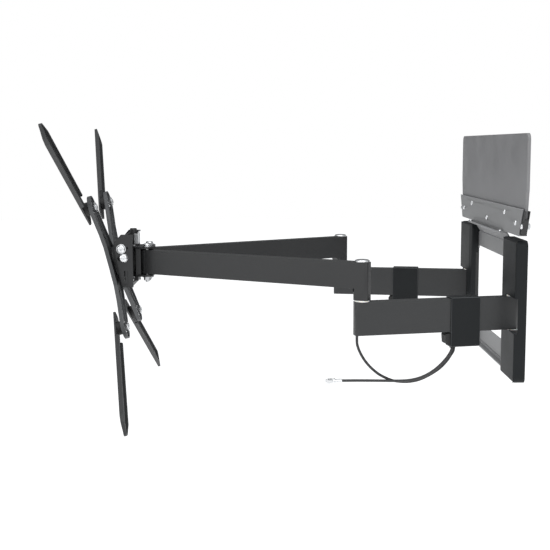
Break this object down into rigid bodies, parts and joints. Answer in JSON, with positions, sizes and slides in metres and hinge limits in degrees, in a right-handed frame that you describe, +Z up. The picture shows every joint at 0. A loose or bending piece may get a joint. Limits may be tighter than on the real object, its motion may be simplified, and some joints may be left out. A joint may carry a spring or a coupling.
{
  "type": "full motion tv wall mount",
  "caption": "Dual arm television wall mount that folds, swivels, tilts and levels, with a flat indoor antenna over the wall plate.",
  "frame": {"origin": "centre of the four wall bolt holes, in the plane of the wall", "axes": "+Y into the wall, +Z up, +X to the right for someone who faces the wall"},
  "size_m": [0.4318, 0.6263, 0.4048],
  "materials": {
    "black_steel": "satin powder coat",
    "dark_steel": "satin powder coat",
    "grey_steel": "fine satin powder coat",
    "cover_plastic": "finely textured",
    "black_plastic": "moulded",
    "panel_plastic": "satin",
    "white_nylon": "satin",
    "zinc": "bright zinc plate",
    "bright_screw": "nickel plate",
    "black_rubber": "matte",
    "cable_jacket": "satin jacket"
  },
  "bodies": {
    "wall_plate": {"right_upright": "black_steel", "left_upright": "black_steel", "right_upright_cover": "cover_plastic", "left_upright_cover": "cover_plastic", "top_crossbar": "grey_steel", "bottom_crossbar": "grey_steel", "crossbar_rivets": "zinc", "wall_pivot_pins": "zinc", "wall_pivot_washers": "white_nylon", "antenna_bracket": "grey_steel", "antenna_base": "black_plastic", "antenna_panel": "panel_plastic", "antenna_screws": "bright_screw", "antenna_nuts": "zinc", "bracket_screws": "bright_screw"},
    "right_rear": {"right_rear_arm": "black_steel", "right_elbow_pin": "bright_screw", "right_elbow_washer": "white_nylon", "right_cable_clip": "cover_plastic", "right_clip_liner": "black_rubber", "coax_loop": "cable_jacket", "coax_lead": "cable_jacket", "coax_connector": "bright_screw"},
    "left_rear": {"left_rear_arm": "black_steel", "left_elbow_pin": "bright_screw", "left_elbow_washer": "white_nylon", "left_cable_clip": "cover_plastic", "left_clip_liner": "black_rubber"},
    "right_fore": {"right_forearm": "dark_steel"},
    "left_fore": {"left_forearm": "dark_steel"},
    "yoke": {"head_yoke": "dark_steel", "head_pivot_bolts": "bright_screw", "head_pivot_washers": "zinc", "head_pivot_nuts": "zinc", "swivel_pin": "zinc", "swivel_cap": "black_plastic"},
    "swivel": {"swivel_bracket": "dark_steel", "cap_guard": "zinc", "tilt_pivot_bolts": "bright_screw"},
    "tilt": {"tilt_plate": "dark_steel", "tilt_lock_bolts": "bright_screw", "level_cap": "zinc"},
    "screen": {"cross_plate": "black_steel", "extension_arms": "black_steel", "arm_spacers": "black_rubber", "arm_bolts": "zinc", "arm_nuts": "bright_screw"}
  },
  "joints": [
    {"name": "right_arm_fold", "type": "hinge", "parent": "wall_plate", "child": "right_rear", "pos_m": [0.148, -0.0095, 0], "axis": [0, 0, 1], "range_deg": [-6, 63]},
    {"name": "right_elbow", "type": "hinge", "parent": "right_rear", "child": "right_fore", "pos_m": [0.18944, -0.2169, 0], "axis": [0, 0, 1], "range_deg": [-109, 11]},
    {"name": "head_facing", "type": "hinge", "parent": "right_fore", "child": "yoke", "pos_m": [0.017, -0.51652, 0], "axis": [0, 0, 1], "range_deg": [-5, 46]},
    {"name": "left_arm_fold", "type": "hinge", "parent": "wall_plate", "child": "left_rear", "pos_m": [-0.148, -0.0095, 0], "axis": [0, 0, 1], "range_deg": [-63.5, 6.5]},
    {"name": "left_elbow", "type": "hinge", "parent": "left_rear", "child": "left_fore", "pos_m": [-0.18944, -0.2169, 0], "axis": [0, 0, 1], "range_deg": [-11, 109]},
    {"name": "screen_swivel", "type": "hinge", "parent": "yoke", "child": "swivel", "pos_m": [0, -0.538, 0], "axis": [0, 0, 1], "range_deg": [-20, 20]},
    {"name": "screen_tilt", "type": "hinge", "parent": "swivel", "child": "tilt", "pos_m": [0, -0.55049, 0.07337], "axis": [1, 0, 0], "range_deg": [-18.7, 1.3]},
    {"name": "screen_level", "type": "hinge", "parent": "tilt", "child": "screen", "pos_m": [0, -0.573, 0.0475], "axis": [0, 0.9715, 0.2368], "range_deg": [-3, 3]}
  ],
  "couplings": [
    {"joint": "right_elbow", "follows": "right_arm_fold", "ratio": -1.7225},
    {"joint": "head_facing", "follows": "right_arm_fold", "ratio": 0.7225},
    {"joint": "left_arm_fold", "follows": "right_arm_fold", "ratio": -1},
    {"joint": "left_elbow", "follows": "right_arm_fold", "ratio": 1.7225}
  ]
}
